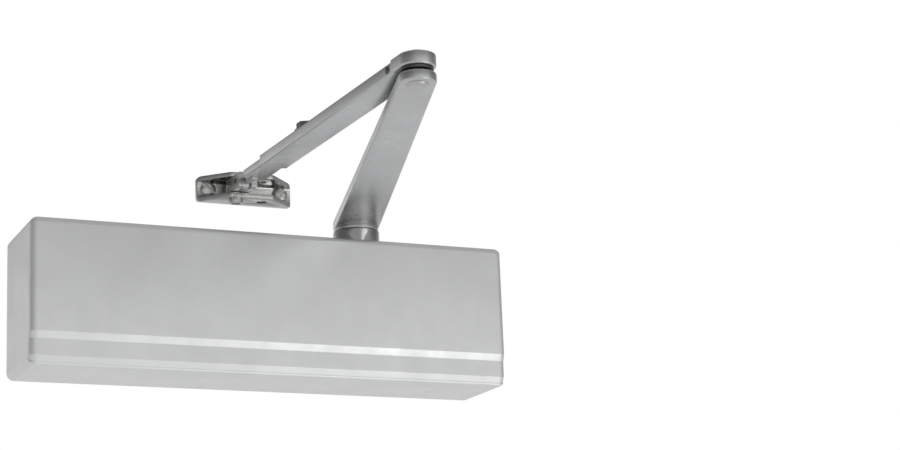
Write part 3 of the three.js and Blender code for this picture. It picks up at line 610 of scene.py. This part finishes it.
def flange_outline(_inset):
    """The shoe seen from above, the same at every level."""
    back = SHOE["length"] / 2
    front = SHOE["front"] / 2
    edge = SHOE["depth"]
    points = rounded_polyline([
        (0, 0, 0), (-back, 0, 0.3), (-back, -2.6, 2.2), (-front - 0.8, -edge, 4.5),
        (front + 0.8, -edge, 4.5), (back, -2.6, 2.2), (back, 0, 0.3), (0, 0, 0),
    ])
    return points[1:-1]


def shoe_section():
    """The (y, z) section of the channel, open to the front, with filleted inside corners."""
    tall, wall, deep = SHOE["height"] / 2, SHOE["wall"], SHOE["depth"] + 1
    inner = tall - wall
    return rounded_polyline([
        (-deep, tall, 0), (0, tall, 1.2), (0, -tall, 1.2), (-deep, -tall, 0), (-deep, -inner, 0),
        (-wall, -inner, 2.2), (-wall, inner, 2.2), (-deep, inner, 0),
    ])


def rounded_face(half_width, half_height, radius):
    """A rectangle with round corners, for the shoe seen from the front."""
    x, z = half_width - radius, half_height - radius
    return (arc(x, z, radius, 0, 90, 6) + arc(-x, z, radius, 90, 180, 6)
            + arc(-x, -z, radius, 180, 270, 6) + arc(x, -z, radius, 270, 360, 6))


def make_shoe():
    reach = SHOE["length"] / 2 + 1
    rings = [[(x, y, z) for y, z in shoe_section()] for x in (-reach, reach)]
    shoe = skinned("shoe_channel", rings, AT_SHOE)
    plan = slab("plan", flange_outline, [(0, -9), (0, 9)], AT_SHOE)
    combine(shoe, plan, "INTERSECT")
    face = rounded_face(SHOE["length"] / 2, SHOE["height"] / 2, 2.6)
    rings = [[(x, y, z) for x, z in face] for y in (-SHOE["depth"] - 1, 1)]
    combine(shoe, skinned("face", rings, AT_SHOE), "INTERSECT")
    through = [(0, -10), (SPARE_HOLE_RADIUS, -10), (SPARE_HOLE_RADIUS, 10), (0, 10)]
    place = AT_SHOE @ Matrix.Translation((SHOE_HOLE, -SHOE_PIVOT_DEPTH, 0))
    cut(shoe, turned("hole", through, place, segments=48))
    bevel(shoe, 0.7, 4, degrees=45)
    finish_piece(shoe, "shoe")


def make_shoe_rivet():
    under = FOREARM_Z - SHOE["height"] / 2
    over = FOREARM_Z + SHOE["height"] / 2
    rivet = turned("shoe_rivet_heads", [
        (0, under - 1.5), (2.4, under - 1.55), (3.0, under - 2.05), (3.7, under - 2.1), (4.3, under - 1.7),
        (4.45, under - 1.2), (4.4, under), (3.0, under + 0.1), (3.0, over - 0.1),
        (4.4, over), (4.3, over + 0.6), (3.6, over + 1.1), (2.0, over + 1.4), (0, over + 1.5),
    ], AT_PIVOT, segments=64)
    finish_piece(rivet, "shoe_rivet")


def make_pan_screw(name, node, place, head, height, shank, reach):
    """A pan-headed screw along +Y, with a slot across its head."""
    dome = [(0, -height), (head * 0.35, -height * 0.98), (head * 0.62, -height * 0.88),
            (head * 0.85, -height * 0.66), (head * 0.97, -height * 0.36), (head, -height * 0.1), (head, 0)]
    screw = turned(name, dome + [(shank, 0), (shank, reach - 2), (0, reach)], place, "Y", 56)
    slot_floor = 1.1 - 0.88 * height
    cut(screw, box("slot", (-head - 1, -height - 1, -0.65), (head + 1, slot_floor, 0.65), place))
    finish_piece(screw, node)


SCREW = {"head": 5.0, "height": 3.2, "shank": 2.4, "reach": 17}


def make_frame_screws():
    for side, offset, slot_angle in (("left", -SHOE_SCREW, 35), ("right", SHOE_SCREW, -50)):
        tilt = Matrix.Rotation(math.radians(slot_angle), 4, "Y")
        place = AT_SHOE @ Matrix.Translation((offset, -SHOE["wall"] - GAP, 0)) @ tilt
        make_pan_screw(f"frame_screw_{side}_head", f"frame_screw_{side}", place, **SCREW)


# ------------------------------------------------------------------ studio and camera

FLOOR = {"half_width": 15000, "height": -900, "thickness": 20, "glow": 0.42}


def emission_floor():
    """A pale floor that glows a little, like a light table under the object."""
    material, tree, shader, place = node_material("studio_floor")
    pale = tinted(tree, noise(tree, place, 3.0), (0.86, 0.86, 0.86), (0.92, 0.92, 0.92))
    tree.links.new(pale, shader.inputs["Base Color"])
    tree.links.new(pale, shader.inputs["Emission Color"])
    shader.inputs["Emission Strength"].default_value = FLOOR["glow"]
    shader.inputs["Roughness"].default_value = 0.9
    return material


# Brightness of the surround: pale low down, dim above that, half bright overhead and dim at each side.
# Heights run from 0 at the horizon to 1 overhead, and sides from 0 on the left to 1 on the right.
SKY_BY_HEIGHT = ((0.0, 1.0), (0.2, 1.0), (0.42, 0.3), (1.0, 0.5))
SKY_BY_SIDE = ((0.0, 0.25), (0.3, 0.8), (0.8, 1.0), (1.0, 0.25))
SKY_STRENGTH = 1.08
MIX_A, MIX_B, MIX_RESULT = 6, 7, 2  # a Mix node's sockets when it mixes colours


def stops(tree, value, levels):
    """A grey ramp from (position, brightness) pairs."""
    ramp = tree.nodes.new("ShaderNodeValToRGB")
    elements = ramp.color_ramp.elements
    while len(elements) < len(levels):
        elements.new(0.5)
    for element, (position, grey) in zip(elements, levels):
        element.position = position
        element.color = (grey, grey, grey, 1)
    tree.links.new(value, ramp.inputs["Fac"])
    return ramp.outputs["Color"]


def make_floor():
    half, top = FLOOR["half_width"], FLOOR["height"]
    floor = box("floor", (-half, -half, top - FLOOR["thickness"]), (half, half, top))
    floor.data.materials.append(emission_floor())


def make_surround():
    """The grey gradient lights the object and shows in its reflections; the camera sees plain white."""
    world = bpy.data.worlds.new("studio")
    scene.world = world
    world.use_nodes = True
    tree = world.node_tree
    direction = tree.nodes.new("ShaderNodeTexCoord").outputs["Generated"]
    parts = tree.nodes.new("ShaderNodeSeparateXYZ")
    tree.links.new(direction, parts.inputs["Vector"])
    height = stops(tree, parts.outputs["Z"], SKY_BY_HEIGHT)
    side = stops(tree, spread(tree, parts.outputs["X"], 0, 1, -1, 1), SKY_BY_SIDE)
    both = tree.nodes.new("ShaderNodeMix")
    both.data_type = "RGBA"
    both.blend_type = "MULTIPLY"
    both.inputs["Factor"].default_value = 1.0
    tree.links.new(height, both.inputs[MIX_A])
    tree.links.new(side, both.inputs[MIX_B])
    background = tree.nodes["Background"]
    background.inputs["Strength"].default_value = SKY_STRENGTH
    tree.links.new(both.outputs[MIX_RESULT], background.inputs["Color"])
    plain = tree.nodes.new("ShaderNodeBackground")
    plain.inputs["Color"].default_value = (1, 1, 1, 1)
    choose = tree.nodes.new("ShaderNodeMixShader")
    seen = tree.nodes.new("ShaderNodeLightPath").outputs["Is Camera Ray"]
    tree.links.new(seen, choose.inputs["Fac"])
    tree.links.new(background.outputs[0], choose.inputs[1])
    tree.links.new(plain.outputs[0], choose.inputs[2])
    tree.links.new(choose.outputs[0], tree.nodes["World Output"].inputs["Surface"])


# Low in front, in metres and watts.
LAMP = {
    "location": (0.75, -1.35, -0.72), "target": (0.05, -0.05, 0.0),
    "width": 0.9, "height": 0.35, "watts": 2.6,
}


def softbox(name, location, target, width, height, watts):
    light = bpy.data.lights.new(name, "AREA")
    light.shape = "RECTANGLE"
    light.size = width
    light.size_y = height
    light.energy = watts
    obj = bpy.data.objects.new(name, light)
    obj.location = location
    obj.rotation_euler = (Vector(target) - Vector(location)).to_track_quat("-Z", "Y").to_euler()
    scene.collection.objects.link(obj)


# The place is in metres and the angles are in degrees.
CAMERA = {
    "place": (-0.5011, -1.4110, -0.3353), "lens": 94.0,
    "azimuth": -24.72, "elevation": -14.86, "roll": -2.39,
}


def make_camera():
    azimuth, elevation, roll = (math.radians(CAMERA[key]) for key in ("azimuth", "elevation", "roll"))
    back = Vector((
        math.sin(azimuth) * math.cos(elevation),
        -math.cos(azimuth) * math.cos(elevation),
        math.sin(elevation),
    ))
    right = Vector((0, 0, 1)).cross(back).normalized()
    up = back.cross(right)
    across = math.cos(roll) * right + math.sin(roll) * up
    upward = -math.sin(roll) * right + math.cos(roll) * up
    data = bpy.data.cameras.new("camera")
    data.sensor_width = 36
    data.lens = CAMERA["lens"]
    camera = bpy.data.objects.new("camera", data)
    turn = Matrix((across, upward, back)).transposed().to_4x4()
    camera.matrix_world = Matrix.Translation(CAMERA["place"]) @ turn
    scene.collection.objects.link(camera)
    scene.camera = camera


dress_cad_nodes()
make_cover()
make_main_arm()
make_spindle_collar()
make_spring()
make_elbow()
make_knuckle()
make_tube()
make_bar()
make_block()
make_shoe()
make_shoe_rivet()
make_frame_screws()
make_floor()
make_surround()
softbox("low_front", **LAMP)
make_camera()
scene.view_settings.view_transform = "Standard"
